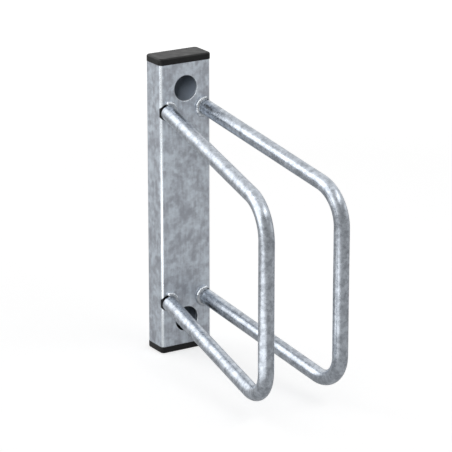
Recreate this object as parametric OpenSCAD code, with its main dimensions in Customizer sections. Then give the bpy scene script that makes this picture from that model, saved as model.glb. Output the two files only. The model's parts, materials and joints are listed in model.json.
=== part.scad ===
// Wall-mounted wheel holder for a bicycle: a rectangular tube post screwed upright to a wall, with
// two bent round tubes welded to its front that stand apart as a V and take the front wheel.
// The origin is on the wall, at the middle of the post. X runs along the wall, Y points into it,
// and Z is up.

/* [Post] */
// Width of the rectangular tube along the wall
post_w = 60; // [50:1:80]
// Depth of the rectangular tube out from the wall
post_d = 30; // [25:1:40]
// Length of the rectangular tube, without its caps
post_len = 304; // [290:1:400]
// Wall thickness of the rectangular tube
post_wall = 2; // [1.5:0.1:3]
// Outside radius of the tube's four long corners
post_corner_r = 4; // [3.5:0.1:6]

/* [Wall fixing] */
// Distance of each fixing point from its end of the post
fixing_inset = 27; // [26:1:30]
// Diameter of the screw holes in the back wall
screw_d = 9; // [6:0.5:12]
// Diameter of the access holes in the front wall, for the screw head and the driver
access_d = 27; // [20:1:27]

/* [Hoops] */
// Outside diameter of the round tube
tube_d = 16; // [12:0.5:18]
// Wall thickness of the round tube
tube_wall = 1.5; // [1:0.1:2.5]
// Distance of each tube's root from its end of the post
root_inset = 49; // [48:1:60]
// Distance from the front of the post to the middle of the upright bar, along the hoop
reach = 224; // [180:1:280]
// Angle by which each hoop leans out from the middle, in degrees
splay = 5.5; // [2:0.5:9]
// Angle by which the upper leg falls towards the front, in degrees
upper_slope = 10.5; // [0:0.5:14]
// Angle by which the lower leg falls towards the front, in degrees
lower_slope = 9.5; // [0:0.5:14]
// Radius of the upper bend, at the tube's middle
upper_bend_r = 40; // [25:1:50]
// Radius of the lower bend, at the tube's middle
lower_bend_r = 30; // [25:1:50]
// How much thinner the tube is where bending has drawn it
bend_draw = 0.2; // [0.1:0.05:0.4]
// Gap between each tube's square end and the post where they are nearest
root_gap = 0.3; // [0.1:0.1:0.5]

/* [Welds] */
// Radius of the rounded weld bead
bead_r = 3; // [2.2:0.1:3.5]
// Distance of the bead's middle out from the side of the tube
bead_offset = 0.8; // [0.4:0.1:1.2]
// Part of the circle round each root that the bead covers, in degrees
bead_arc = 170; // [150:10:220]
// Number of overlapping pools of metal in each bead
bead_pools = 13; // [11:1:14]

/* [End caps] */
// Thickness of the flange that covers the end of the post
flange_t = 7; // [5:0.5:10]
// How far the flange stands out past the front and the sides of the post
flange_over = 0.6; // [0.2:0.1:1.2]
// Radius along the outer edges of the flange
flange_edge_r = 2; // [1:0.1:2.4]
// Length of the plug inside the post
plug_depth = 12; // [8:0.5:12]
// Wall thickness of the hollow plug
plug_wall = 1.6; // [1.2:0.1:2]
// Distance from the plug's sides to the inside of the post
plug_gap = 1.4; // [1:0.1:2]
// Thickness of the gripping ribs round the plug
rib_t = 1; // [0.6:0.1:1.4]
// Number of gripping ribs round the plug
rib_count = 3; // [2:1:4]
// Clearance left between a rib and the inside of the post
rib_clearance = 0.1; // [0.05:0.05:0.3]
// Number of stiffening webs across the plug
web_count = 2; // [1:1:3]

/* [Hidden] */
$fn = 96;

// One length by which every cut runs past the face that it opens
overrun = 1;
// How far each bend runs on inside the straights that it joins
bend_lap = 0.5;
// Which way each side lies along X
left = -1;
right = 1;

// Heights of the fixing points and of the tube roots above and below the middle of the post
fixing_z = post_len / 2 - fixing_inset;
root_z = post_len / 2 - root_inset;
// The outer sides of the two tubes are in line with the sides of the post
root_x = (post_w - tube_d) / 2;

// Inside of the post
bore_w = post_w - 2 * post_wall;
bore_d = post_d - 2 * post_wall;
bore_corner_r = post_corner_r - post_wall;

// Tangent length of each bend, which is how far it eats into the two straights that it joins
upper_tangent = upper_bend_r * tan((90 - upper_slope) / 2);
lower_tangent = lower_bend_r * tan((90 + lower_slope) / 2);
// Heights at which the sloping legs would meet the line of the upright bar
upper_corner_z = root_z - reach * tan(upper_slope);
lower_corner_z = -root_z - reach * tan(lower_slope);
// Lengths of the three straights
upper_leg_len = reach / cos(upper_slope) - upper_tangent;
lower_leg_len = reach / cos(lower_slope) - lower_tangent;
bar_len = upper_corner_z - lower_corner_z - upper_tangent - lower_tangent;

// How squarely a leg of the given slope meets the front of the post, where 1 is square on
function squareness(slope) = cos(splay) * cos(slope);

// Distance along a leg from the front of the post to the middle of the tube's square end. The end
// is tilted against the post, so it stands off until its nearest point is just clear.
function end_start(slope) =
    (tube_d / 2 * sqrt(1 - pow(squareness(slope), 2)) + root_gap) / squareness(slope);

// Height of the plane of the tube's square end above the front of the post, at x along the wall
// and y up from the middle of the root
function end_height(side, slope, x, y) =
    (end_start(slope) - side * x * sin(splay) * cos(slope) + y * sin(slope)) / squareness(slope);

// A rectangle with round corners, about its middle
module rounded_rect(w, d, r) {
    square([w - 2 * r, d], center = true);
    square([w, d - 2 * r], center = true);
    for (sx = [-1, 1], sy = [-1, 1])
        translate([sx * (w / 2 - r), sy * (d / 2 - r)]) circle(r = r);
}

// Puts what is drawn about the Z axis at the middle of the post's section
module at_post_axis() {
    translate([0, -post_d / 2, 0]) children();
}

// A flat plate whose upper edge is rounded all the way round
module eased_plate(w, d, t, corner_r, edge_r) {
    flat_x = w / 2 - corner_r;
    flat_y = d / 2 - corner_r;
    linear_extrude(t - edge_r) rounded_rect(w, d, corner_r);
    linear_extrude(t) rounded_rect(w - 2 * edge_r, d - 2 * edge_r, corner_r - edge_r);
    // Quarter-round edges along the four sides
    for (s = [-1, 1]) {
        translate([0, s * (d / 2 - edge_r), t - edge_r])
            rotate([0, 90, 0]) cylinder(r = edge_r, h = 2 * flat_x, center = true);
        translate([s * (w / 2 - edge_r), 0, t - edge_r])
            rotate([90, 0, 0]) cylinder(r = edge_r, h = 2 * flat_y, center = true);
    }
    // Rounded edges round the four corners
    for (sx = [-1, 1], sy = [-1, 1])
        translate([sx * flat_x, sy * flat_y, t - edge_r])
            rotate_extrude() intersection() {
                translate([corner_r - edge_r, 0]) circle(r = edge_r);
                translate([0, -edge_r]) square([corner_r, 2 * edge_r]);
            }
}

// A thin-walled ring that follows the inside of the post, gap away from it, about its middle
module plug_ring(gap, wall, h) {
    linear_extrude(h) difference() {
        rounded_rect(bore_w - 2 * gap, bore_d - 2 * gap, bore_corner_r);
        square([bore_w - 2 * (plug_gap + wall), bore_d - 2 * (plug_gap + wall)], center = true);
    }
}

// A push-in cap that stands on the end of the post, with its plug hanging down inside
module insert_cap() {
    rib_step = plug_depth / rib_count;
    web_step = (bore_w - 2 * plug_gap) / (web_count + 1);
    color([0.12, 0.12, 0.13]) at_post_axis() {
        // The flange is flush with the back of the post, so that nothing holds it off the wall
        translate([0, -flange_over / 2, 0])
            eased_plate(post_w + 2 * flange_over, post_d + flange_over, flange_t,
                        post_corner_r + flange_over, flange_edge_r);
        translate([0, 0, -plug_depth]) {
            plug_ring(plug_gap, plug_wall, plug_depth);
            for (i = [0 : rib_count - 1])
                translate([0, 0, i * rib_step]) plug_ring(rib_clearance, plug_wall, rib_t);
            for (i = [1 : web_count])
                translate([i * web_step - bore_w / 2 + plug_gap, 0, plug_depth / 2])
                    cube([plug_wall, bore_d - 2 * plug_gap - plug_wall, plug_depth], center = true);
        }
    }
}

module post() {
    color([0.62, 0.64, 0.66]) difference() {
        at_post_axis() translate([0, 0, -post_len / 2]) difference() {
            linear_extrude(post_len) rounded_rect(post_w, post_d, post_corner_r);
            translate([0, 0, -overrun])
                linear_extrude(post_len + 2 * overrun) rounded_rect(bore_w, bore_d, bore_corner_r);
        }
        for (s = [-1, 1]) translate([0, 0, s * fixing_z]) rotate([90, 0, 0]) {
            translate([0, 0, -overrun]) cylinder(d = screw_d, h = post_wall + 2 * overrun);
            translate([0, 0, post_d - post_wall - overrun])
                cylinder(d = access_d, h = post_wall + 2 * overrun);
        }
    }
}

module top_cap() {
    translate([0, 0, post_len / 2]) insert_cap();
}

module bottom_cap() {
    mirror([0, 0, 1]) top_cap();
}

// Stands a hoop's own plane, with X forward and Z up, at one side of the post's front
module at_hoop(side) {
    translate([side * root_x, -post_d, 0]) rotate([0, 0, side * splay - 90]) children();
}

// A straight that runs forward from a root at height z and falls by the angle slope. It ends at
// the length len from the root, and starts at the tube's square end, or back from it.
module leg(z, slope, len, d, back = 0) {
    start = end_start(slope) - back;
    translate([0, 0, z]) rotate([0, 90 + slope, 0])
        translate([0, 0, start]) cylinder(d = d, h = len - start);
}

// A bend of centre-line radius r about a point at height z, from the angle start to the angle end
module bend(r, z, start, end, d) {
    lap = bend_lap / r * 180 / PI;
    translate([reach - r, 0, z]) rotate([90, 0, 0]) rotate([0, 0, start - lap])
        rotate_extrude(angle = end - start + 2 * lap) translate([r, 0]) circle(d = d - bend_draw);
}

// A round bar of diameter d along the whole hoop: leg, bend, upright bar, bend and leg. Both ends
// can run on by the length back.
module along_hoop(d, back = 0) {
    leg(root_z, upper_slope, upper_leg_len, d, back);
    bend(upper_bend_r, upper_corner_z - upper_tangent, 0, 90 - upper_slope, d);
    translate([reach, 0, lower_corner_z + lower_tangent]) cylinder(d = d, h = bar_len);
    bend(lower_bend_r, lower_corner_z + lower_tangent, -90 - lower_slope, 0, d);
    leg(-root_z, lower_slope, lower_leg_len, d, back);
}

// Everything behind the plane of the post's front, within reach of the roots
module behind_front() {
    at_post_axis() cube([2 * post_w, post_d, post_len], center = true);
}

module hoop(side) {
    color([0.66, 0.68, 0.70]) difference() {
        at_hoop(side) along_hoop(tube_d);
        at_hoop(side) along_hoop(tube_d - 2 * tube_wall, overrun);
    }
}

module left_hoop() {
    hoop(left);
}

module right_hoop() {
    hoop(right);
}

// The bead round the inner side of one root, as a row of overlapping pools, each halfway between
// the post and the square end of the tube. It stops short of the outer side, where the rounded
// corner of the post falls away and the end stays open as a dark slit.
module weld(side, z, slope) {
    inward = side == right ? 180 : 0;
    ring_r = tube_d / 2 + bead_offset;
    color([0.72, 0.74, 0.76]) difference() {
        translate([side * root_x, -post_d, z]) rotate([90, 0, 0])
            for (i = [0 : bead_pools - 1]) {
                angle = inward + bead_arc * (i / (bead_pools - 1) - 1 / 2);
                x = ring_r * cos(angle);
                y = ring_r * sin(angle);
                translate([x, y, end_height(side, slope, x, y) / 2]) sphere(r = bead_r);
            }
        at_hoop(side) leg(z, slope, tube_d, tube_d);
        behind_front();
    }
}

module upper_left_weld() {
    weld(left, root_z, upper_slope);
}

module upper_right_weld() {
    weld(right, root_z, upper_slope);
}

module lower_left_weld() {
    weld(left, -root_z, lower_slope);
}

module lower_right_weld() {
    weld(right, -root_z, lower_slope);
}

post();
top_cap();
bottom_cap();
left_hoop();
right_hoop();
upper_left_weld();
upper_right_weld();
lower_left_weld();
lower_right_weld();
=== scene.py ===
# %% [markdown]
# # A wall-mounted wheel holder in galvanised steel
#
# The object is a rectangular steel tube that is screwed upright to a wall. Two thinner tubes are bent
# into hoops and welded to its front, a little apart and leaning outwards, so that a bicycle's front
# wheel can be pushed in between them. The welded frame was dipped in molten zinc, and a black plastic
# cap closes each end of the post.
#
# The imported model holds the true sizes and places. This file adds the looks: smoother surfaces that
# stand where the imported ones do, and the finish of the zinc and of the plastic. All of it is in
# metres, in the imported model's frame: X runs along the wall, Y points into it and Z is up.

import json

import bpy
import numpy as np
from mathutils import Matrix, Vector


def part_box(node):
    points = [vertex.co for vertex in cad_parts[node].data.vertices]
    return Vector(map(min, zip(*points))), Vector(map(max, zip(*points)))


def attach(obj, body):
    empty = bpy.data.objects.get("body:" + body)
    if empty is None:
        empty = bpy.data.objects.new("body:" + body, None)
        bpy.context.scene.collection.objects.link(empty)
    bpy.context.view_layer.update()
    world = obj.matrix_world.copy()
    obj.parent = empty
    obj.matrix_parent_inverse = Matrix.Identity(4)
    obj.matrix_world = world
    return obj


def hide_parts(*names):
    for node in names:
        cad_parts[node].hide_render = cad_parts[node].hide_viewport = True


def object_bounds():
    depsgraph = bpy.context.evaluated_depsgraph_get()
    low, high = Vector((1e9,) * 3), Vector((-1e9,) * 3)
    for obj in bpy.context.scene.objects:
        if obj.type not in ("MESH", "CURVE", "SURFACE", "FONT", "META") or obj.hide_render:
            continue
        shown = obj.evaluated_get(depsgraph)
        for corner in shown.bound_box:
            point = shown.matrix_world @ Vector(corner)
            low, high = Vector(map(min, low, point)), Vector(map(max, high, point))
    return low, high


MM = 0.001

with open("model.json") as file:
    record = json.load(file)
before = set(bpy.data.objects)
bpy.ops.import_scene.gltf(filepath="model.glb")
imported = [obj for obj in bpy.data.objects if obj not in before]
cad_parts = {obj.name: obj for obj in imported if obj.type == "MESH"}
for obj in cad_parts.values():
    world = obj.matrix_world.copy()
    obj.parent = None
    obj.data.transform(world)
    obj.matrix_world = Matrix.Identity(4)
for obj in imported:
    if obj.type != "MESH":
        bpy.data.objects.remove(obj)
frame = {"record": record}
cad_box = [list(corner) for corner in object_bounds()]
print("CAD box from", np.round(cad_box[0], 4), "to", np.round(cad_box[1], 4))

# %% [markdown]
# ## Driving sizes
#
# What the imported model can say, it says: the post's width, depth and length are the size of its box,
# the caps' boxes give their flange and plug, and the record's bolt pattern gives the screw holes. A
# box says nothing about a bend or a slope, so those sizes are stated again here, and each hoop is
# measured against its box once it is made.

# %% Driving sizes
post_low, post_high = (np.array(corner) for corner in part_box("post"))
cap_low, cap_high = (np.array(corner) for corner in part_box("top_cap"))
post_w, post_d, post_len = post_high - post_low
screws = next(mount for mount in frame["record"]["mounts"] if mount["name"] == "wall_screws")
fixing_z = screws["dims"]["spacing_y_mm"] * MM / 2
screw_r = screws["dims"]["hole_r_mm"] * MM

access_r = 13.5 * MM
post_wall = 2 * MM
post_corner_r = 4 * MM
rim_r = 0.45 * MM

tube_r = 8 * MM
tube_wall = 1.5 * MM
root_x = post_w / 2 - tube_r
root_z = 103 * MM
root_gap = 0.3 * MM
reach = 224 * MM
splay = np.radians(5.5)
upper_slope, lower_slope = np.radians([10.5, 9.5])
upper_bend_r, lower_bend_r = 40 * MM, 30 * MM

flat_half = post_w / 2 - post_corner_r
side_half = post_d / 2 - post_corner_r
post_axis_y = -post_d / 2


def squareness(slope):
    """How squarely a leg meets the post: the cosine of the angle between them, 1 when it is head on."""
    return np.cos(splay) * np.cos(slope)


def end_start(slope):
    """Distance along a leg from the post's front to the middle of the tube's square end, at which the
    tilted end's nearest point keeps the gap."""
    tilt = np.sqrt(1 - squareness(slope) ** 2)
    return (tube_r * tilt + root_gap) / squareness(slope)


print(f"post {post_w / MM:.1f} x {post_d / MM:.1f} x {post_len / MM:.1f} mm")

# %% [markdown]
# ## Surfaces from grids of points
#
# Every shape here is a formula: a grid of points in two parameters, worked out as one numpy array.
# A whole piece is often several such grids, such as a flat wall, a rounded corner and the rim of a
# hole. The small class below collects them and sews them into one mesh by merging the points that
# fall on the same place, and it then proves that the skin is closed: each edge has to be used by two
# faces, once in each direction.

# %% A skin sewn from grids
SAME_PLACE = 1e-7


class Skin:
    """Grids of points, of shape (rows, columns, 3), that together close a shape.
    The front of a cell is the side of (next row - this row) x (next column - this column)."""

    def __init__(self):
        self.points, self.quads, self.count = [], [], 0

    def add(self, grid, flip=False):
        rows, columns = grid.shape[:2]
        row, column = np.meshgrid(np.arange(rows - 1), np.arange(columns - 1), indexing="ij")
        first = (row * columns + column).ravel() + self.count
        quads = np.stack([first, first + columns, first + columns + 1, first + 1], axis=1)
        self.points.append(grid.reshape(-1, 3))
        self.quads.append(quads[:, ::-1] if flip else quads)
        self.count += rows * columns

    def sewn(self):
        """Merges equal points. A quad with two equal corners becomes a triangle, and one with fewer
        than three different corners goes."""
        points, quads = np.concatenate(self.points), np.concatenate(self.quads)
        keys = np.round(points / SAME_PLACE).astype(np.int64)
        _, kept, place = np.unique(keys, axis=0, return_index=True, return_inverse=True)
        quads = place.ravel()[quads]
        equal = quads == np.roll(quads, -1, axis=1)
        twins = equal.sum(axis=1)
        turn = (equal[twins == 1].argmax(axis=1)[:, None] + [1, 2, 3]) % 4
        triangles = np.take_along_axis(quads[twins == 1], turn, axis=1)
        return points[kept], quads[twins == 0], triangles

    def mesh(self, name, sharp=40):
        """The piece as an object at the origin, smooth but for edges sharper than so many degrees."""
        points, quads, triangles = self.sewn()
        data = bpy.data.meshes.new(name)
        data.from_pydata(points.tolist(), [], quads.tolist() + triangles.tolist())
        data.shade_smooth()
        data.set_sharp_from_angle(angle=np.radians(sharp))
        piece = bpy.data.objects.new(name, data)
        bpy.context.scene.collection.objects.link(piece)
        state = "closed" if is_closed([quads, triangles], len(points)) else "open"
        print(f"{name}: {len(quads) + len(triangles)} faces, {state}")
        return piece


def is_closed(faces, count):
    """True if each edge is used once in each direction. An edge between two of count points is written
    as one whole number."""
    edges = [np.stack([face, np.roll(face, -1, axis=1)], axis=-1).reshape(-1, 2) for face in faces]
    edges = np.concatenate(edges)
    there = np.sort(edges @ [count, 1])
    back = np.sort(edges @ [1, count])
    return np.array_equal(there, back) and len(np.unique(there)) == len(there)


def points_of(x, y, z):
    """A grid of points from three arrays of one shape, or numbers that are the same all over it."""
    return np.stack(np.broadcast_arrays(x, y, z), axis=-1)


# %% [markdown]
# ## Shader maths as plain expressions
#
# A material is a formula over the surface too. Wrapping a node's output in a small class lets
# Python's own operators add the Math nodes, so that a line reads as the sum that it makes. One other
# method adds every other kind of node.

# %% Wires and trees
class Wire:
    """One output of a node. Arithmetic on it adds Math nodes."""

    def __init__(self, tree, socket):
        self.tree, self.socket = tree, socket

    def math(self, operation, *others):
        return self.tree.node("Math", {"operation": operation}, dict(enumerate((self, *others))))

    def __add__(self, other):
        return self.math("ADD", other)

    def __sub__(self, other):
        return self.math("SUBTRACT", other)

    def __rsub__(self, other):
        return self * -1 + other

    def __mul__(self, other):
        return self.math("MULTIPLY", other)

    __radd__ = __add__
    __rmul__ = __mul__

    def step(self, low, high):
        """0 below low, 1 above high, and a smooth rise in between."""
        return self.tree.node("MapRange", {"interpolation_type": "SMOOTHSTEP"},
                              {"Value": self, "From Min": low, "From Max": high})


class Tree:
    """The node tree of a material or of the world, emptied."""

    def __init__(self, owner):
        owner.use_nodes = True
        self.tree = owner.node_tree
        self.tree.nodes.clear()

    def node(self, kind, settings, inputs, output=0):
        """Adds a node: its settings first, then the value or the wire of each input."""
        made = self.tree.nodes.new("ShaderNode" + kind)
        for key, value in settings.items():
            setattr(made, key, value)
        for key, value in inputs.items():
            if isinstance(value, Wire):
                self.tree.links.new(value.socket, made.inputs[key])
            else:
                made.inputs[key].default_value = value
        return Wire(self, made.outputs[output])

    def place(self, scale=(1, 1, 1)):
        """Object coordinates in metres, stretched along the axes by scale."""
        return self.node("Mapping", {}, {0: self.node("TexCoord", {}, {}, "Object"), "Scale": scale})

    def noise(self, place, size, detail=2, rough=0.5, output=0):
        """Soft noise from 0 to 1 whose blotches measure about size, in metres."""
        return self.node("TexNoise", {}, {"Vector": place, "Scale": 1 / size, "Detail": detail,
                                          "Roughness": rough}, output)

    def mix(self, factor, first, second):
        """Blends two colours."""
        return self.node("Mix", {"data_type": "RGBA"}, {0: factor, 6: first, 7: second}, 2)

    def ray(self, kind):
        """1 for a ray of the kind Camera, Glossy or Transmission, and 0 for any other."""
        return self.node("LightPath", {}, {}, f"Is {kind} Ray")

    def finish(self, shader, kind="OutputMaterial"):
        output = self.tree.nodes.new("ShaderNode" + kind)
        self.tree.links.new(shader.socket, output.inputs["Surface"])


def colour(red, green, blue):
    """A colour from the values of 0 to 255 at which a screen shows it."""
    seen = np.array([red, green, blue]) / 255
    linear = np.where(seen <= 0.04045, seen / 12.92, ((seen + 0.055) / 1.055) ** 2.4)
    return (*linear.tolist(), 1)


# %% [markdown]
# ## The camera
#
# The picture was taken from the left and from above, with a long lens: the post's upright edges stay
# upright, and the far hoop looks as large as the near one. A camera is placed here by the direction
# in which it stands from a point that it aims at, and by its distance.

# %% Camera
camera_azimuth, camera_elevation = -31.67, 17.81
camera_distance = 2.8
camera_aim = np.array([3.4, -102.8, -3.7]) * MM
camera_lens = 219.6
camera_clip = 50


def direction(azimuth, elevation):
    """The unit vector towards an azimuth, seen from above, and an elevation, both in degrees."""
    turn, rise = np.radians([azimuth, elevation])
    return np.array([np.sin(turn) * np.cos(rise), -np.cos(turn) * np.cos(rise), np.sin(rise)])


def aimed(name, data, place, away):
    """A camera or a lamp at a place, with its back to the vector away and its top up."""
    thing = bpy.data.objects.new(name, data)
    thing.location = place
    thing.rotation_euler = Vector(-away).to_track_quat("-Z", "Y").to_euler()
    bpy.context.scene.collection.objects.link(thing)
    return thing


camera_data = bpy.data.cameras.new("camera")
camera_data.lens = camera_lens
camera_data.clip_end = camera_clip
away = direction(camera_azimuth, camera_elevation)
camera = aimed("camera", camera_data, camera_aim + camera_distance * away, away)
bpy.context.scene.camera = camera
bpy.context.scene.view_settings.view_transform = "Standard"
print("camera at", np.round(camera.location, 3))

# %% [markdown]
# ## Room and floor
#
# Metal looks like what it reflects, so the room matters more than the lamps' power. A Light Path node
# tells the kinds of ray apart: the camera sees a white backdrop and a nearly white floor, while the
# light that the world sends to the object stays low. In reflections the room is dimmer behind the
# camera than towards the wall, and that side of it gives each round tube its dark stripe. The floor
# is matt with an even glow mixed in, and the two together are white but for the shadow close under
# the object. Further off the lamps fade, so the glow grows there to keep the floor white.

# %% World
world_light = 0.4
room_dimness = 0.65
dim_from, dim_to = -0.95, -0.1

world = bpy.data.worlds.new("studio")
bpy.context.scene.world = world
tree = Tree(world)
towards_wall = tree.node("SeparateXYZ", {}, {0: tree.node("TexCoord", {}, {}, "Generated")}, "Y")
room = towards_wall.step(dim_from, dim_to) * room_dimness + (1 - room_dimness)
backdrop = tree.ray("Camera") + tree.ray("Transmission")
strength = backdrop * (1 - world_light) + tree.ray("Glossy") * (room - world_light) + world_light
tree.finish(tree.node("Background", {}, {"Color": (1, 1, 1, 1), "Strength": strength}), "OutputWorld")
print(f"world: light {world_light}, and in reflections from {1 - room_dimness:.2f} to 1")

# %% Floor
floor_half = 6.0
floor_grey = 0.9
camera_glow, glossy_glow = 0.3, 0.6
camera_tone, glossy_tone = 2.2, 0.5
far_from, far_to = 0.7, 2.0
far_glow = 1.1


def floor_paint():
    """A matt grey with a glow mixed in, whose share and strength depend on the kind of ray. What the
    camera sees of the glow grows with the distance from the origin."""
    paint = bpy.data.materials.new("floor_paint")
    tree = Tree(paint)
    seen = tree.ray("Camera") + tree.ray("Transmission")
    mirrored = tree.ray("Glossy")
    distance = tree.node("VectorMath", {"operation": "LENGTH"}, {0: tree.place()}, 1)
    seen_tone = camera_tone + distance.step(far_from, far_to) * far_glow
    tone = seen_tone - mirrored * (seen_tone - glossy_tone)
    matt = tree.node("BsdfDiffuse", {}, {"Color": (floor_grey, floor_grey, floor_grey, 1)})
    glow = tree.node("Emission", {}, {"Color": (1, 1, 1, 1), "Strength": tone})
    glow_share = seen * camera_glow + mirrored * glossy_glow
    tree.finish(tree.node("MixShader", {}, {0: glow_share, 1: matt, 2: glow}))
    return paint


floor_skin = Skin()
edges = np.array([-floor_half, floor_half])
floor_skin.add(points_of(edges[:, None], edges, cad_box[0][2]))
floor = floor_skin.mesh("floor")
floor.data.materials.append(floor_paint())

# %% [markdown]
# ## Lamps
#
# The lamps are soft boxes, as in a photographer's studio, and each has one task. The key box stands far
# off, behind the object and to its left: it lights the side of the post and sends the shadow forwards.
# The tall box at the left and the card on the floor show only in reflections, and draw the bright
# bands along the tubes and down the near corner of the post. A box high up at the front right draws
# the second stripe on the sloping legs. The fill box brightens the front of the post and the inside of
# its holes. It would be a glaring spot on the tubes, so it is hidden from reflections, and light
# linking, set once the post is made, keeps it off everything but the post.


# %% Lamps
def soft_box(name, place, away, width, height, radiance):
    """A rectangular lamp that faces away from a vector and that the camera doesn't see. Its power is
    its radiance times pi times its area."""
    data = bpy.data.lights.new(name, "AREA")
    data.shape = "RECTANGLE"
    data.size, data.size_y = width, height
    data.energy = radiance * np.pi * width * height
    lamp = aimed(name, data, place, away)
    lamp.visible_camera = False
    print(f"{name}: {width} x {height} m, {data.energy:.1f} W")
    return lamp


def standing_box(name, azimuth, elevation, distance, width, height, radiance):
    """A soft box that stands off from the aim in a direction and faces it."""
    away = direction(azimuth, elevation)
    return soft_box(name, camera_aim + distance * away, away, width, height, radiance)


standing_box("key_box", azimuth=-155, elevation=31, distance=3.0, width=2.7, height=1.75, radiance=1.0)
tall_box = standing_box("tall_box", azimuth=-98, elevation=30, distance=0.9, width=0.92, height=1.3,
                        radiance=1.3)
tall_box.visible_diffuse = False
standing_box("front_top_box", azimuth=33, elevation=50, distance=1.2, width=1.0, height=0.38,
             radiance=1.8)
fill_box = standing_box("fill_box", azimuth=-47, elevation=34, distance=1.4, width=0.5, height=0.5,
                        radiance=25)
fill_box.visible_glossy = False
card_middle = np.array([-0.4, -0.29, cad_box[0][2] + MM])
card_back = np.array([0, 0, -1])
floor_card = soft_box("floor_card", card_middle, card_back, width=0.54, height=0.38, radiance=1.3)
floor_card.visible_diffuse = False

# %% [markdown]
# ## Where the zinc differs
#
# The coat isn't the same all over. On the rounded corners of the post and round its access holes it
# is smooth, and its colour is painted lighter there: a painted highlight for the bright line that
# these edges throw back. Inside the post it stays dull and powdery. In the slit beside the outer
# half of each tube's slanting end, and on the tube's end, the colour is painted near black: painted
# shadow for the shade in the slit. Each such place is a mask: a formula on a point's own coordinates,
# worked out from the sizes of the pieces, that is 1 in the place and falls to 0 beside it.

# %% Masks for the zinc
corner_from, corner_to = 0.3, 0.48
# slit_fade and slit_shift size the painted shadow at the tubes' ends: it fades over slit_fade and is
# shifted outwards and down, like a contact shadow.
slit_fade = 0.8 * MM
slit_shift = 0.7 * MM


def parts_of(place):
    """The x, y and z of a point, each as a wire."""
    return [place.tree.node("SeparateXYZ", {}, {0: place}, axis) for axis in "XYZ"]


def at_corners(place):
    """1 along the middle of the post's rounded corners, where the colour is lightened into a painted
    highlight. The two offsets from a corner's axis are the radius times a sine and a cosine, and their
    product is largest, a half, midway round."""
    x, y, _ = parts_of(place)
    out_x = (x.math("ABSOLUTE") - flat_half).math("MAXIMUM", 0)
    out_y = ((y - post_axis_y).math("ABSOLUTE") - side_half).math("MAXIMUM", 0)
    return (out_x * out_y * (1 / post_corner_r ** 2)).step(corner_from, corner_to)


def at_edges(place):
    """1 along the post's corners and round the rims of the access holes in its front, the places of the
    painted highlight.
    """
    x, y, z = parts_of(place)
    up = z.math("ABSOLUTE") - fixing_z
    off_rim = ((x * x + up * up).math("SQRT") - access_r).math("ABSOLUTE")
    at_front = 1 - (y + post_d).step(rim_r, 2 * rim_r)
    at_rim = (1 - off_rim.step(rim_r / 2, rim_r)) * at_front
    return at_corners(place).math("MAXIMUM", at_rim)


def within(offset, half):
    """1 where an offset from the post's axis is inside the wall, and 0 from the wall's middle out."""
    return 1 - offset.math("ABSOLUTE").step(half - post_wall, half - post_wall / 2)


def inside_post(place):
    """1 on the post's inner skin and nearly 0 on its outer one."""
    x, y, _ = parts_of(place)
    return within(x, post_w / 2) * within(y - post_axis_y, post_d / 2)


def from_root(place):
    """A point's offset from the nearest root, as x outwards from the middle, y and z."""
    x, y, z = parts_of(place)
    return x.math("ABSOLUTE") - root_x, y + post_d, z - z.math("SIGN") * root_z


def under_tube_end(place):
    """1 on the post's outer skin where a tube's end covers it, by the distance from a line beside the
    root's axis, outwards and down from it. It places the painted shadow in the slit, which reaches a
    little outwards and down as a contact shadow would."""
    x, y, z = from_root(place)
    x, z = x - slit_shift, z + slit_shift
    off_axis = (x * x + z * z).math("SQRT")
    near = 1 - off_axis.step(tube_r, tube_r + slit_fade)
    return near * (1 - y.step(post_corner_r / 2, post_corner_r)) * (1 - inside_post(place))


def on_tube_end(place):
    """1 on a tube's sawn end, by the distance from the root measured along the leg. There the painted
    shadow darkens the end and the first millimetre of the tube all round.
    """
    x, y, z = from_root(place)
    slope = (upper_slope + lower_slope) / 2
    along = x * (np.sin(splay) * np.cos(slope)) - y * squareness(slope) - z * np.sin(slope)
    return 1 - along.step(end_start(slope) + slit_fade / 2, end_start(slope) + 1.5 * slit_fade)


# %% [markdown]
# ## Hot-dip zinc
#
# When the molten zinc sets, it freezes into patches of crystal called spangle. Each patch throws the
# light back a little differently, so the grey is mottled, and so is the gloss. The coat is also never
# quite level. The material has soft clouds of two sizes, a faint cell pattern for the crystals and a
# fine grain, and on the post long streaks where the zinc ran off. Zinc hardly has a colour of its own:
# it is a metal, so nearly all that it shows is the room. A painted picture could hold such patches too,
# but a formula on the point's coordinates has no seams and stays sharp from close by.

# %% Zinc
cloud_share, mottle_share, crystal_share, grain_share = 0.6, 0.4, 0.16, 0.12
mottle_height, grain_height = 0.3, 0.04
shade_level = 0.14
shade_from, shade_to = 0.3, 0.7
cloud_size = 2.5
grain_size, run_width, run_stretch = 1.2 * MM, 3 * MM, 0.15
crystal_softness = 0.8
# The lighter zinc of the corners and rims is a painted highlight; the roughness drop is the coat's own
# smoothness.
painted_highlight_zinc, painted_highlight_share, bright_gloss = colour(243, 250, 255), 0.9, 0.15
powder_zinc, powder_metal = colour(150, 160, 173), 0.3
# The near black of the slits is painted shadow.
painted_slit_shadow = colour(22, 22, 24)


def spangle(tree, place, patch):
    """One random value for each cell of a wavering cell pattern, soft at the cells' edges."""
    waver = tree.node("VectorMath", {"operation": "MULTIPLY_ADD"},
                      {0: tree.noise(place, patch, output="Color"), 1: (patch,) * 3, 2: place})
    cells = tree.node("TexVoronoi", {"feature": "SMOOTH_F1"},
                      {"Vector": waver, "Scale": 1 / patch, "Smoothness": crystal_softness}, "Color")
    return tree.node("SeparateColor", {}, {0: cells})


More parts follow.
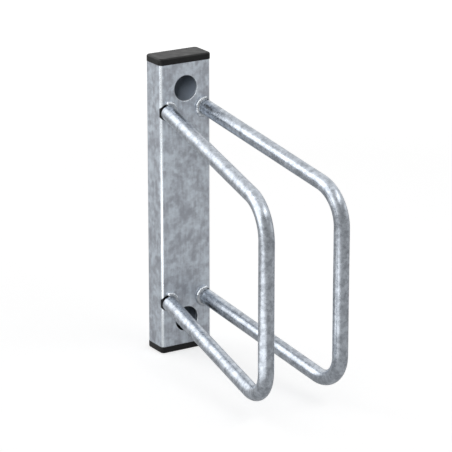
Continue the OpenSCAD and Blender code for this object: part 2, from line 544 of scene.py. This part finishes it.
def zinc(name, dark, light, patch, metal, gloss, unevenness, streak=0.0, smooth=None, dull=None, slit=None):
    """Galvanised steel. dark and light are the greys of its clouds, patch is the size of a crystal,
    metal how far it is from its own oxide, gloss the lowest and highest roughness, unevenness the
    height of the coat's waves, and streak says how strongly upright runs show. The last three are
    masks: smooth is where the coat is smoother and its colour is painted lighter as a painted
    highlight, dull where it is rough and powdery, and slit where the colour is painted near black as
    painted shadow."""
    paint = bpy.data.materials.new(name)
    tree = Tree(paint)
    place = tree.place()
    clouds = tree.noise(place, patch * cloud_size, detail=3, rough=0.6)
    mottle = tree.noise(place, patch, detail=3, rough=0.6)
    grain = tree.noise(place, grain_size)
    runs = tree.noise(tree.place((1, 1, run_stretch)), run_width, detail=3)
    shade = clouds * cloud_share + mottle * mottle_share + spangle(tree, place, patch) * crystal_share
    shade = shade + grain * grain_share + runs * streak - (shade_level + streak / 2)
    base = tree.mix(shade.step(shade_from, shade_to), dark, light)
    roughness = mottle * (gloss[1] - gloss[0]) + gloss[0]
    height = clouds * cloud_share + mottle * mottle_height + grain * grain_height
    metallic = metal
    # Painted highlight: along the corners and rims the colour is lightened, and the roughness drops.
    if smooth:
        highlight_and_gloss = smooth(place)
        base = tree.mix(highlight_and_gloss * painted_highlight_share, base, painted_highlight_zinc)
        roughness = roughness - highlight_and_gloss * bright_gloss
    if dull:
        powdery = dull(place)
        base = tree.mix(powdery, base, powder_zinc)
        metallic = metal - powdery * (metal - powder_metal)
    # Painted shadow: where the slit mask is 1, the colour is painted near black for the shade in the slit.
    if slit:
        base = tree.mix(slit(place), base, painted_slit_shadow)
    bump = tree.node("Bump", {}, {"Strength": 1.0, "Distance": unevenness, "Height": height})
    tree.finish(tree.node("BsdfPrincipled", {}, {
        "Base Color": base, "Metallic": metallic, "Roughness": roughness, "Normal": bump}))
    print(f"{name}: {len(paint.node_tree.nodes)} nodes")
    return paint


post_zinc = zinc("zinc_post", dark=colour(164, 168, 177), light=colour(214, 223, 232), patch=6 * MM,
                 metal=0.75, gloss=(0.3, 0.42), unevenness=0.15 * MM, streak=0.3,
                 smooth=at_edges, dull=inside_post, slit=under_tube_end)
tube_zinc = zinc("zinc_tube", dark=colour(156, 162, 170), light=colour(207, 214, 223), patch=3.2 * MM,
                 metal=0.95, gloss=(0.21, 0.37), unevenness=0.05 * MM, slit=on_tube_end)
weld_zinc = zinc("zinc_weld", dark=colour(178, 184, 190), light=colour(222, 227, 232), patch=3 * MM,
                 metal=0.95, gloss=(0.22, 0.35), unevenness=0.05 * MM)

# %% [markdown]
# ## Black plastic
#
# The caps are moulded in a black plastic with a fine matt grain. Seen flat on they are nearly black,
# and at a low angle the top takes a grey sheen from the backdrop. A plastic reflects little head on,
# so the specular level is low.

# %% Plastic
plastic_dark, plastic_light = colour(18, 18, 20), colour(28, 28, 29)
plastic_gloss = 0.27, 0.62
plastic_patch, plastic_grain, plastic_relief = 8 * MM, 0.5 * MM, 0.02 * MM
plastic_specular = 0.33


def plastic(name):
    """Matt black moulded plastic with a fine grain and faint clouds."""
    paint = bpy.data.materials.new(name)
    tree = Tree(paint)
    place = tree.place()
    clouds = tree.noise(place, plastic_patch, detail=3)
    grain = tree.noise(place, plastic_grain)
    base = tree.mix(clouds.step(shade_from, shade_to), plastic_dark, plastic_light)
    roughness = clouds * (plastic_gloss[1] - plastic_gloss[0]) + plastic_gloss[0]
    bump = tree.node("Bump", {}, {"Strength": 1.0, "Distance": plastic_relief, "Height": grain})
    tree.finish(tree.node("BsdfPrincipled", {}, {
        "Base Color": base, "Roughness": roughness, "Normal": bump,
        "Specular IOR Level": plastic_specular}))
    print(f"{name}: {len(paint.node_tree.nodes)} nodes")
    return paint


cap_plastic = plastic("plastic_cap")

# %% [markdown]
# ## Taking a imported piece's place
#
# Each surface that follows stands where one imported piece is. It rides on the same body and hides that
# piece.


# %% Taking a node's place
def stands_for(piece, node, paint):
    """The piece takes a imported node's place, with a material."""
    piece.data.materials.append(paint)
    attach(piece, "root")
    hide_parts(node)


# %% [markdown]
# ## The post
#
# A rectangular tube is one outline carried upwards, but its front and back walls are pierced. Cutting
# holes in a finished mesh leaves ragged faces, so each hole gets a square panel of its own instead,
# whose points run from the hole's circle out to the square. The rest of the walls are plain grids
# that share the panel's edge points, and a rounded rim leads through each hole to the inner skin.

# %% Outline of the post's section
CORNER_STEPS = 16
HOLE_STEPS = 24
SIDE_STEPS = 8


def corner_arc(quarter, inset):
    """A quarter circle round one corner of the section, the first at the front right and the others
    anticlockwise from it. Its middle stays put, and its radius shrinks with the inset."""
    angle = np.radians(90) * (quarter - 1 + np.linspace(0, 1, CORNER_STEPS + 1))
    middle = np.array([[1, -1], [1, 1], [-1, 1], [-1, -1]][quarter]) * [flat_half, side_half]
    return middle + (post_corner_r - inset) * np.stack([np.cos(angle), np.sin(angle)], axis=-1)


def narrow_side(sign, inset):
    """Corner, side and corner at the right or left end of the section, as one run of points."""
    quarter = 0 if sign > 0 else 2
    first, second = corner_arc(quarter, inset), corner_arc(quarter + 1, inset)
    side = np.linspace(first[-1], second[0], SIDE_STEPS + 1)[1:-1]
    return np.concatenate([first, side, second])


def upright(outline, heights):
    """Carries an outline of (x, y) points about the post's axis up through the heights."""
    return points_of(outline[:, :1], outline[:, 1:] + post_axis_y, heights)


# %% Panel and rim of one hole
PANEL_RINGS = 12
PANEL_CROWDING = 1.6
RIM_STEPS = 5


def square_walk():
    """The edge of a square of half side 1, from its lower right corner anticlockwise, in equal steps."""
    run = np.linspace(-1, 1, HOLE_STEPS + 1)[:-1]
    one = np.ones_like(run)
    sides = [(one, run), (-run, one), (-one, -run), (run, -one)]
    walk = np.concatenate([np.stack(side, axis=-1) for side in sides])
    return np.concatenate([walk, walk[:1]])


square = square_walk()
circle = square / np.linalg.norm(square, axis=1, keepdims=True)


def holed_panel(radius, half):
    """A flat square with a round hole, in rings: the circle at 0 swells into the square at 1, with the
    rings closer together near the hole."""
    spread = np.linspace(0, 1, PANEL_RINGS + 1)[:, None, None] ** PANEL_CROWDING
    return (1 - spread) * circle * radius + spread * square * half


def rim_profile(radius):
    """Radius and depth from the outer skin, over a rounded edge, through the wall and over another."""
    turn = np.radians(np.linspace(90, 0, RIM_STEPS + 1))
    over = np.stack([radius + rim_r * (1 - np.cos(turn)), rim_r * (1 - np.sin(turn))], axis=-1)
    under = [0, post_wall] + over * [1, -1]
    return np.concatenate([over, under[::-1]])


# %% Walls, rims and ends of the post
LONG_STEPS = 80
HOLES = (-1, access_r), (1, screw_r)
half_len = post_len / 2
panel_edge = np.linspace(-flat_half, flat_half, HOLE_STEPS + 1)


def add_walls(skin, inset, inner):
    """The four walls and corners of one skin: the narrow sides over the whole length, and the front
    and back as strips between and beyond the holes' square panels."""
    panel_run = fixing_z + panel_edge
    long_run = np.linspace(-panel_run[0], panel_run[0], LONG_STEPS + 1)
    heights = np.concatenate([[-half_len], -panel_run[::-1], long_run[1:-1], panel_run, [half_len]])
    strips = [np.array([-half_len, -panel_run[-1]]), long_run, np.array([panel_run[-1], half_len])]
    for sign in (1, -1):
        skin.add(upright(narrow_side(sign, inset), heights), flip=inner)
    for face, radius in HOLES:
        skin_y = face * (post_d / 2 - inset)
        line = np.stack([-face * panel_edge, np.full_like(panel_edge, skin_y)], -1)
        for strip in strips:
            skin.add(upright(line, strip), flip=inner)
        flat = holed_panel(radius + rim_r, flat_half)
        for side in (-1, 1):
            z = side * fixing_z + flat[..., 1]
            skin.add(points_of(-face * flat[..., 0], post_axis_y + skin_y, z), flip=inner)


def add_rims(skin):
    """The rounded rim of each hole, from the outer skin through the wall to the inner one."""
    for face, radius in HOLES:
        out, depth = rim_profile(radius).T
        y = post_axis_y + face * (post_d / 2 - depth)
        for side in (-1, 1):
            z = side * fixing_z + circle[:, 1:] * out
            skin.add(points_of(-face * circle[:, :1] * out, y, z))


def end_ring(inset, z):
    """The whole outline of the section at one height, through the same points as the walls."""
    front = np.stack([panel_edge, np.full_like(panel_edge, inset - post_d / 2)], -1)
    loop = np.concatenate([front, narrow_side(1, inset)[1:], -front[1:], narrow_side(-1, inset)[1:]])
    return upright(loop, np.array([z]))[:, 0]


def add_ends(skin):
    """The sawn ends: flat rings from the outer outline to the inner one."""
    for sign in (1, -1):
        rings = [end_ring(inset, sign * half_len) for inset in (0, post_wall)]
        skin.add(np.stack(rings, axis=1), flip=sign < 0)


# %% The whole post
post_skin = Skin()
add_walls(post_skin, 0, False)
add_walls(post_skin, post_wall, True)
add_rims(post_skin)
add_ends(post_skin)
post = post_skin.mesh("zinc_coated_post")
stands_for(post, "post", post_zinc)

lit_by_fill_box = bpy.data.collections.new("lit_by_fill_box")
lit_by_fill_box.objects.link(post)
fill_box.light_linking.receiver_collection = lit_by_fill_box

# %% [markdown]
# ## The hoops
#
# A bent tube is a circle carried along a path of straights and arcs. The path is worked out flat, as
# distance forward and height, and the hoop is then turned by its splay. The circle goes out along the
# path on the outside of the tube and comes back along its bore, so that one grid, closed both ways
# like a ring, is the whole tube with its wall. The ends are sawn square across the tube. The legs
# slope, so a square end meets the post at a slant: its lowest point is just clear of the post, and a
# wedge stays open above, which is a dark slit where no weld closes it, its shade deepened by painted
# shadow on the zinc. The zinc is not quite even, so the outside narrows by up to a tenth of a
# millimetre in slow waves, and a bend is drawn thinner.

# %% Path of a hoop
STRAIGHT_STEP = 4 * MM
BEND_STEP = np.radians(2)
EASE_STEPS = 4
end_ease_r = 0.4 * MM


def heading_vector(angle):
    """(forward, up) for an angle above the horizontal."""
    return np.stack([np.cos(angle), np.sin(angle)], axis=-1)


def hoop_path():
    """Places and headings of the stations along one hoop in its own plane, and how far each is within
    a bend. A straight keeps its heading, and a bend turns it steadily by the step angle."""
    upper_tangent = upper_bend_r * np.tan((np.pi / 2 - upper_slope) / 2)
    lower_tangent = lower_bend_r * np.tan((np.pi / 2 + lower_slope) / 2)
    upper_corner = np.array([reach, root_z - reach * np.tan(upper_slope)])
    lower_corner = np.array([reach, -root_z - reach * np.tan(lower_slope)])
    corners = [np.array([0, root_z]), upper_corner, lower_corner, np.array([0, -root_z])]
    headings = [-upper_slope, -np.pi / 2, -np.pi - lower_slope]
    cuts = [(end_start(upper_slope), upper_tangent), (upper_tangent, lower_tangent),
            (lower_tangent, end_start(lower_slope))]
    places, angles, bent = [], [], []
    for index, heading in enumerate(headings):
        along = heading_vector(heading)
        start = corners[index] + cuts[index][0] * along
        end = corners[index + 1] - cuts[index][1] * along
        steps = int(np.linalg.norm(end - start) / STRAIGHT_STEP)
        places.append(np.linspace(start, end, steps + 1))
        angles.append(np.full(steps + 1, heading))
        bent.append(np.zeros(steps + 1))
        if index < len(headings) - 1:
            radius = (upper_bend_r, lower_bend_r)[index]
            swing = headings[index + 1] - heading
            share = np.linspace(0, 1, int(abs(swing) / BEND_STEP) + 1)[1:-1]
            turn = heading + swing * share
            middle = end + radius * np.array([np.sin(heading), -np.cos(heading)])
            places.append(middle + radius * np.stack([-np.sin(turn), np.cos(turn)], axis=-1))
            angles.append(turn)
            bent.append(np.sqrt(np.sin(np.pi * share)))
    return np.concatenate(places), np.concatenate(angles), np.concatenate(bent)


def eased_path():
    """The path with extra stations at both ends, where a quarter circle rounds the sawn edge, and how
    much each station's radius is drawn in there."""
    places, headings, bent = hoop_path()
    quarter = np.radians(np.linspace(90, 0, EASE_STEPS + 1))
    back = end_ease_r * (1 - np.sin(quarter))
    drawn_in = end_ease_r * (1 - np.cos(quarter))
    first = places[0] + back[:, None] * heading_vector(headings[0])
    last = places[-1] - back[::-1, None] * heading_vector(headings[-1])
    places = np.concatenate([first, places[1:-1], last])
    headings = np.concatenate([np.full(len(back), headings[0]), headings[1:-1],
                               np.full(len(back), headings[-1])])
    bent = np.concatenate([np.zeros(len(back)), bent[1:-1], np.zeros(len(back))])
    eased = np.concatenate([drawn_in, np.zeros(len(places) - 2 * len(back)), drawn_in[::-1]])
    return places, headings, bent, eased


# %% Surface of a hoop
RING_STEPS = 64
bend_draw = 0.1 * MM
zinc_wave = 0.08 * MM
short_wave, long_wave = 9 * MM, 21 * MM


def hoop_surface(side):
    """P(station, angle) = centre + radius x (cos(angle) across + sin(angle) sideways), where across is
    square to the path within the hoop's plane. The stations run out along the outside and back along
    the bore, to the first one again."""
    places, headings, bent, eased = eased_path()
    lean = side * splay
    forward = np.array([np.sin(lean), -np.cos(lean), 0])
    sideways = np.array([np.cos(lean), np.sin(lean), 0])
    up = np.array([0, 0, 1])
    root = np.array([side * root_x, -post_d, 0])
    centre = root + places[:, :1] * forward + places[:, 1:] * up
    across = np.cos(headings)[:, None] * up - np.sin(headings)[:, None] * forward
    ring = np.linspace(0, 2 * np.pi, RING_STEPS + 1)
    ring[-1] = 0
    spoke = np.cos(ring)[:, None] * across[:, None] + np.sin(ring)[:, None] * sideways
    steps = np.linalg.norm(np.diff(places, axis=0), axis=1)
    distance = np.concatenate([[0], np.cumsum(steps)])[:, None]
    wave = 0.5 + np.sin(distance / short_wave + 2 * ring) / 4 + np.sin(distance / long_wave - ring) / 4
    outer = tube_r - bend_draw * bent[:, None] - eased[:, None] - zinc_wave * wave
    outside = centre[:, None] + outer[..., None] * spoke
    bore = centre[:, None] + (tube_r - tube_wall) * spoke
    return np.concatenate([outside, bore[::-1], outside[:1]])


for name, side in (("left_hoop", -1), ("right_hoop", 1)):
    skin = Skin()
    skin.add(hoop_surface(side), flip=True)
    hoop = skin.mesh("zinc_coated_" + name)
    stands_for(hoop, name, tube_zinc)
    low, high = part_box(name)
    made = np.concatenate(skin.points)
    print(name, "differs from its box by, in mm:",
          np.round((made.min(0) - low) / MM, 2), np.round((made.max(0) - high) / MM, 2))

# %% [markdown]
# ## The weld beads
#
# A weld is a row of pools of metal, each frozen over the edge of the one before. Only the inner side
# of each root is welded: on the outer side the corner of the post rounds away from the tube. The bead
# is a round cord bent round the root, halfway between the post and the tube's slanting end. Its radius
# follows the pools, both of its ends are rounded off, and no two pools are quite the same size.

# %% Weld beads
BEAD_STEPS = 156
BEAD_RING = 28
bead_r = 3 * MM
bead_offset = 0.8 * MM
bead_arc = np.radians(170)
bead_pools = 13
bead_sink = 0.3 * MM
pool_unevenness, pool_rhythm = 0.05, 2.3


def end_height(side, slope, x, y):
    """Height of the tube's square end above the post's front, at x along the wall and y up from the
    root's middle: the plane through the end, solved for the height."""
    slant = side * x * np.sin(splay) * np.cos(slope) - y * np.sin(slope)
    return (end_start(slope) - slant) / squareness(slope)


def bead_radius(along):
    """Within a pool the radius is that of a sphere about the pool's middle, and past the last middles
    the bead closes like the end of a capsule. A wave in steps of the rhythm, one step for each pool,
    makes the pools uneven."""
    ring_r = tube_r + bead_offset
    pitch = bead_arc / (bead_pools - 1)
    past = np.maximum(np.abs(along) - bead_arc / 2, 0) * ring_r
    off_middle = (np.abs(along + bead_arc / 2 + pitch / 2) % pitch - pitch / 2) * ring_r
    off = np.where(past > 0, np.minimum(past, bead_r), np.abs(off_middle))
    pool = np.round((along + bead_arc / 2) / pitch)
    uneven = 1 - pool_unevenness * (1 + np.sin(pool_rhythm * pool))
    radius = np.sqrt(np.maximum(bead_r ** 2 - off ** 2, 0)) * uneven
    radius[[0, -1]] = 0
    return radius[:, None]


def bead_surface(side, z, slope):
    """P(along, round) = ring about the root, plus the bead's radius times (cos, sin) of the angle round
    the bead, the cos outwards along the post and the sin away from it. Points that would lie within
    the tube are pushed out to the middle of its wall, and none lies deeper in the post than the sink."""
    ring_r = tube_r + bead_offset
    tip = bead_r / ring_r
    along = np.sin(np.linspace(-1, 1, BEAD_STEPS + 1) * np.pi / 2) * (bead_arc / 2 + tip)
    inward = along[:, None] + (np.pi if side > 0 else 0)
    radius = bead_radius(along)
    middle_height = end_height(side, slope, ring_r * np.cos(inward), ring_r * np.sin(inward)) / 2
    angle = np.linspace(0, 2 * np.pi, BEAD_RING + 1)
    angle[-1] = 0
    out = ring_r + radius * np.cos(angle)
    points = points_of(out * np.cos(inward), out * np.sin(inward), middle_height + radius * np.sin(angle))
    axis = np.array([side * np.sin(splay) * np.cos(slope), -np.sin(slope), squareness(slope)])
    along_axis = (points @ axis)[..., None] * axis
    spoke = points - along_axis
    length = np.linalg.norm(spoke, axis=-1, keepdims=True)
    points = along_axis + spoke * np.maximum(length, tube_r - tube_wall / 2) / length
    depth = np.maximum(points[..., 2], -bead_sink)
    return points_of(side * root_x + points[..., 0], -post_d - depth, z + points[..., 1])


for name, side, z, slope in (("upper_left_weld", -1, root_z, upper_slope),
                             ("upper_right_weld", 1, root_z, upper_slope),
                             ("lower_left_weld", -1, -root_z, lower_slope),
                             ("lower_right_weld", 1, -root_z, lower_slope)):
    skin = Skin()
    skin.add(bead_surface(side, z, slope), flip=True)
    bead = skin.mesh("zinc_coated_" + name)
    stands_for(bead, name, weld_zinc)

# %% [markdown]
# ## The end caps
#
# Each cap is moulded in one piece: a flange with a softly rounded rim that covers the end of the
# post, and a ribbed plug below it that grips the inside. A cap is a stack of rectangles with round
# corners, each given by its half sizes, its corner radius and its height, and the skin runs from one
# to the next. The flange's rectangles are flush with the back of the post, and the plug's are about
# the post's axis. Two webs stiffen the plug, so what is hollow in it is three square pockets.

# %% Stations of a cap
flange_t = cap_high[2] - post_high[2]
flange_over = cap_high[0] - post_high[0]
flange_edge_r = 2 * MM
plug_depth = post_high[2] - cap_low[2]
plug_wall = 1.6 * MM
plug_gap = 1.4 * MM
rib_t = 1 * MM
rib_count = 3
rib_clearance = 0.1 * MM
rib_slope = 0.2 * MM
web_count = 2
lip_r, lip_share = 0.25 * MM, 0.3
TOP_RINGS = 8
EDGE_STEPS = 8

flange_half = np.array([post_w / 2 + flange_over, post_d / 2 + flange_over / 2])
flange_corner_r = post_corner_r + flange_over
bore_half = np.array([post_w / 2, post_d / 2]) - post_wall
bore_corner_r = post_corner_r - post_wall
pocket_half = bore_half - plug_gap - plug_wall


def stations(half, corner_r, shift, inset, height):
    """One row for each station: half sizes, corner radius, shift in y and height. Half sizes and
    radius shrink with the inset, and a corner ends up sharp."""
    inset, height = np.broadcast_arrays(np.asarray(inset, float), height)
    radius = np.maximum(corner_r - inset, 0)
    halves = np.maximum(half - inset[:, None], 0)
    return np.column_stack([halves, radius, np.full_like(inset, shift), height])


def cap_stations():
    """The stack from the middle of the top outwards, over the rounded rim, down to the lip, in under the
    flange to the plug, down over its ribs and to the edge of the pockets."""
    turn = np.radians(np.linspace(90, 0, EDGE_STEPS + 1))
    middle = np.linspace(flange_half[1], flange_edge_r, TOP_RINGS + 1)[:-1]
    lip = lip_r * lip_share
    inset = np.concatenate([middle, flange_edge_r * (1 - np.cos(turn)), [0, lip, lip_r]])
    height = np.concatenate([np.full(TOP_RINGS, flange_t), flange_t - flange_edge_r * (1 - np.sin(turn)),
                             [lip_r, lip, 0]])
    flange = stations(flange_half, flange_corner_r, -flange_over / 2, inset, height)
    seat, grip = plug_gap, rib_clearance
    rib_z = -plug_depth + np.arange(rib_count)[::-1] * plug_depth / rib_count
    rib_height = rib_z[:, None] + [rib_t, rib_t - rib_slope, rib_slope, 0]
    rib_inset = np.tile([seat, grip, grip, seat], rib_count)
    plug_inset = np.concatenate([[seat], rib_inset])
    plug_height = np.concatenate([[0], rib_height.ravel()])
    plug = stations(bore_half, bore_corner_r + plug_gap, 0, plug_inset, plug_height)
    edge = stations(pocket_half, 0, 0, [0], [-plug_depth])
    return np.concatenate([flange, plug, edge])


# %% Skin of a cap
WEB_SIDE_STEPS = 8
pocket_step = 2 * (bore_half[0] - plug_gap) / (web_count + 1)
web_middles = (np.arange(web_count) + 1) * pocket_step - bore_half[0] + plug_gap
web_edges = np.sort(np.concatenate([web_middles - plug_wall / 2, web_middles + plug_wall / 2]))
pocket_ends = np.concatenate([[-pocket_half[0]], web_edges, [pocket_half[0]]]).reshape(-1, 2)
pocket_runs = [np.linspace(*ends, HOLE_STEPS // 2 + 1) for ends in pocket_ends]
long_share = np.concatenate(pocket_runs) / pocket_half[0]
short_share = np.linspace(-1, 1, WEB_SIDE_STEPS + 1)


def rectangle_loops(rows):
    """One closed loop of points for each station, anticlockwise: four corner arcs, joined by straight
    sides whose points keep their shares of the side's length."""
    half, radius, shift, height = rows[:, None, :2], rows[:, None, 2:3], rows[:, 3:4], rows[:, 4:5]
    flat = half - radius
    runs = []
    for quarter, sign in enumerate(np.array([[1, -1], [1, 1], [-1, 1], [-1, -1]])):
        angle = np.radians(90) * (quarter - 1 + np.linspace(0, 1, CORNER_STEPS + 1))
        runs.append(sign * flat + radius * np.stack([np.cos(angle), np.sin(angle)], axis=-1))
        if quarter % 2 == 0:
            side = sign[0] * half[..., :1], sign[0] * short_share[1:-1, None] * flat[..., 1:]
        else:
            side = -sign[1] * long_share[1:-1, None] * flat[..., :1], sign[1] * half[..., 1:]
        runs.append(np.concatenate(np.broadcast_arrays(*side), axis=-1))
    runs.append(runs[0][:, :1])
    loop = np.concatenate(runs, axis=1)
    return points_of(loop[..., 0], loop[..., 1] + shift + post_axis_y, height)


def pocket_sheets():
    """The hollow cells of the plug, open towards the inside of the post: for each a ceiling and four
    walls, and then the foot of each web. True marks a sheet that has to be turned to face outwards."""
    y = post_axis_y + short_share * pocket_half[1]
    depth = np.array([-plug_depth, 0])
    sheets = []
    for run in pocket_runs:
        sheets.append((points_of(run[:, None], y, 0), True))
        sheets.append((points_of(run[:, None], y[0], depth), True))
        sheets.append((points_of(run[:, None], y[-1], depth), False))
        sheets.append((points_of(run[0], y[:, None], depth), False))
        sheets.append((points_of(run[-1], y[:, None], depth), True))
    for left, right in web_edges.reshape(-1, 2):
        sheets.append((points_of(np.array([[left], [right]]), y, -plug_depth), True))
    return sheets


def cap_skin(sign):
    """The skin of the cap at the upper or lower end of the post, which mirrors the upper one."""
    skin = Skin()
    for grid, turned in [(rectangle_loops(cap_stations()), False), *pocket_sheets()]:
        skin.add(grid * [1, 1, sign] + [0, 0, sign * post_len / 2], flip=turned != (sign < 0))
    return skin


for name, sign in (("top_cap", 1), ("bottom_cap", -1)):
    cap = cap_skin(sign).mesh("plastic_" + name, sharp=50)
    stands_for(cap, name, cap_plastic)
